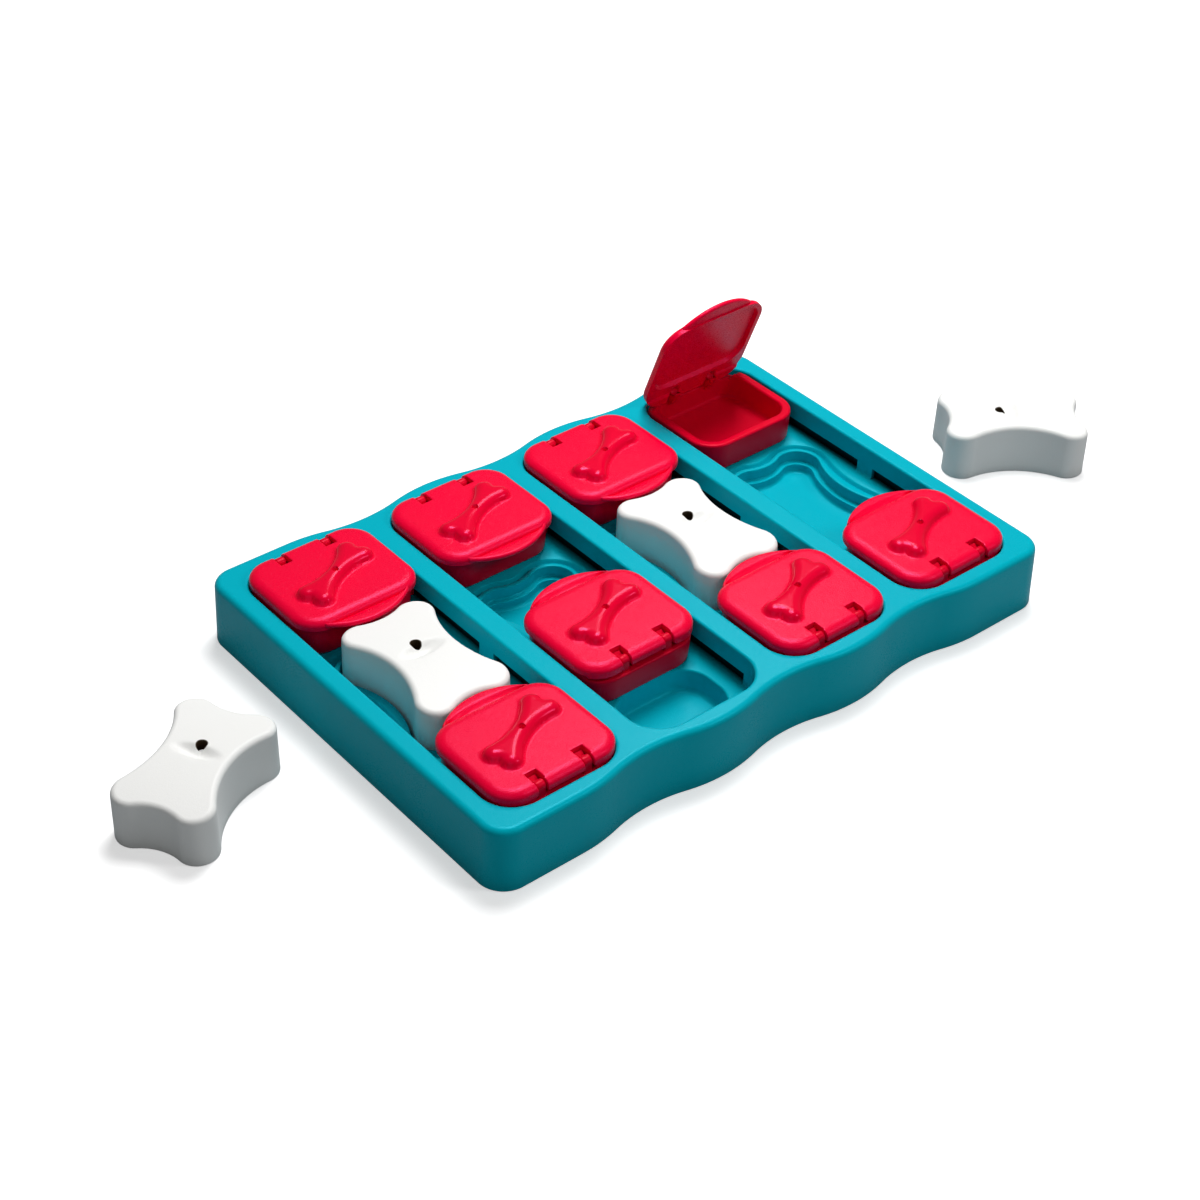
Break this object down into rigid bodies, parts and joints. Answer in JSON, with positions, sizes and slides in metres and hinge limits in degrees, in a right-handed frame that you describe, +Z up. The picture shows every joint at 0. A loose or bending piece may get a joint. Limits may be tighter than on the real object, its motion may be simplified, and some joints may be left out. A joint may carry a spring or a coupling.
{
  "type": "dog puzzle feeder",
  "caption": "Flat puzzle feeder for dogs: a tray with side by side lanes, lidded treat boxes that slide and swing open, and bone shaped blocks that lock them in place.",
  "frame": {"origin": "centre of the tray's footprint, at the plane of its bottom rim", "axes": "+X across the lanes, +Y along the lanes towards the far boxes, +Z up"},
  "size_m": [0.5402, 0.2172, 0.09],
  "materials": {
    "tray": "semi-gloss moulded plastic",
    "boxes": "semi-gloss moulded plastic",
    "lids": "semi-gloss moulded plastic",
    "bones": "satin moulded plastic"
  },
  "bodies": {
    "tray": {"tray": "tray"},
    "box_far_1": {"box_far_1": "boxes"},
    "lid_far_1": {"lid_far_1": "lids"},
    "box_near_1": {"box_near_1": "boxes"},
    "lid_near_1": {"lid_near_1": "lids"},
    "box_far_2": {"box_far_2": "boxes"},
    "lid_far_2": {"lid_far_2": "lids"},
    "box_near_2": {"box_near_2": "boxes"},
    "lid_near_2": {"lid_near_2": "lids"},
    "box_far_3": {"box_far_3": "boxes"},
    "lid_far_3": {"lid_far_3": "lids"},
    "box_near_3": {"box_near_3": "boxes"},
    "lid_near_3": {"lid_near_3": "lids"},
    "box_far_4": {"box_far_4": "boxes"},
    "lid_far_4": {"lid_far_4": "lids"},
    "box_near_4": {"box_near_4": "boxes"},
    "lid_near_4": {"lid_near_4": "lids"},
    "bone_lane_1": {"bone_lane_1": "bones"},
    "bone_lane_3": {"bone_lane_3": "bones"},
    "bone_loose_left": {"bone_loose_left": "bones"},
    "bone_loose_right": {"bone_loose_right": "bones"}
  },
  "joints": [
    {"name": "box_far_1_slide", "type": "slide", "parent": "tray", "child": "box_far_1", "axis": [0, 1, 0], "range_m": [-0.0003, 0.0004]},
    {"name": "lid_far_1_hinge", "type": "hinge", "parent": "box_far_1", "child": "lid_far_1", "pos_m": [-0.1164, 0.0936, 0.0336], "axis": [-1, 0, 0], "range_deg": [0, 110]},
    {"name": "box_near_1_slide", "type": "slide", "parent": "tray", "child": "box_near_1", "axis": [0, 1, 0], "range_m": [-0.0004, 0.0003]},
    {"name": "lid_near_1_hinge", "type": "hinge", "parent": "box_near_1", "child": "lid_near_1", "pos_m": [-0.1164, -0.0936, 0.0336], "axis": [1, 0, 0], "range_deg": [0, 110]},
    {"name": "box_far_2_slide", "type": "slide", "parent": "tray", "child": "box_far_2", "axis": [0, 1, 0], "range_m": [-0.027, 0]},
    {"name": "lid_far_2_hinge", "type": "hinge", "parent": "box_far_2", "child": "lid_far_2", "pos_m": [-0.0388, 0.0936, 0.0336], "axis": [-1, 0, 0], "range_deg": [0, 110]},
    {"name": "box_near_2_slide", "type": "slide", "parent": "tray", "child": "box_near_2", "axis": [0, 1, 0], "range_m": [-0.04, 0]},
    {"name": "lid_near_2_hinge", "type": "hinge", "parent": "box_near_2", "child": "lid_near_2", "pos_m": [-0.0388, -0.0536, 0.0336], "axis": [1, 0, 0], "range_deg": [0, 110]},
    {"name": "box_far_3_slide", "type": "slide", "parent": "tray", "child": "box_far_3", "axis": [0, 1, 0], "range_m": [-0.0003, 0.0004]},
    {"name": "lid_far_3_hinge", "type": "hinge", "parent": "box_far_3", "child": "lid_far_3", "pos_m": [0.0388, 0.0936, 0.0336], "axis": [-1, 0, 0], "range_deg": [0, 110]},
    {"name": "box_near_3_slide", "type": "slide", "parent": "tray", "child": "box_near_3", "axis": [0, 1, 0], "range_m": [-0.0004, 0.0003]},
    {"name": "lid_near_3_hinge", "type": "hinge", "parent": "box_near_3", "child": "lid_near_3", "pos_m": [0.0388, -0.0936, 0.0336], "axis": [1, 0, 0], "range_deg": [0, 110]},
    {"name": "box_far_4_slide", "type": "slide", "parent": "tray", "child": "box_far_4", "axis": [0, 1, 0], "range_m": [-0.04, 0]},
    {"name": "lid_far_4_hinge", "type": "hinge", "parent": "box_far_4", "child": "lid_far_4", "pos_m": [0.1164, 0.0936, 0.0336], "axis": [-1, 0, 0], "range_deg": [-70, 40]},
    {"name": "box_near_4_slide", "type": "slide", "parent": "tray", "child": "box_near_4", "axis": [0, 1, 0], "range_m": [0, 0.04]},
    {"name": "lid_near_4_hinge", "type": "hinge", "parent": "box_near_4", "child": "lid_near_4", "pos_m": [0.1164, -0.0936, 0.0336], "axis": [1, 0, 0], "range_deg": [0, 110]},
    {"name": "bone_lane_1_lift", "type": "slide", "parent": "tray", "child": "bone_lane_1", "axis": [0, 0, 1], "range_m": [0, 0.06]},
    {"name": "bone_lane_3_lift", "type": "slide", "parent": "tray", "child": "bone_lane_3", "axis": [0, 0, 1], "range_m": [0, 0.06]},
    {"name": "bone_loose_left_lift", "type": "slide", "parent": "tray", "child": "bone_loose_left", "axis": [0, 0, 1], "range_m": [0, 0.06]},
    {"name": "bone_loose_right_lift", "type": "slide", "parent": "tray", "child": "bone_loose_right", "axis": [0, 0, 1], "range_m": [0, 0.06]}
  ]
}
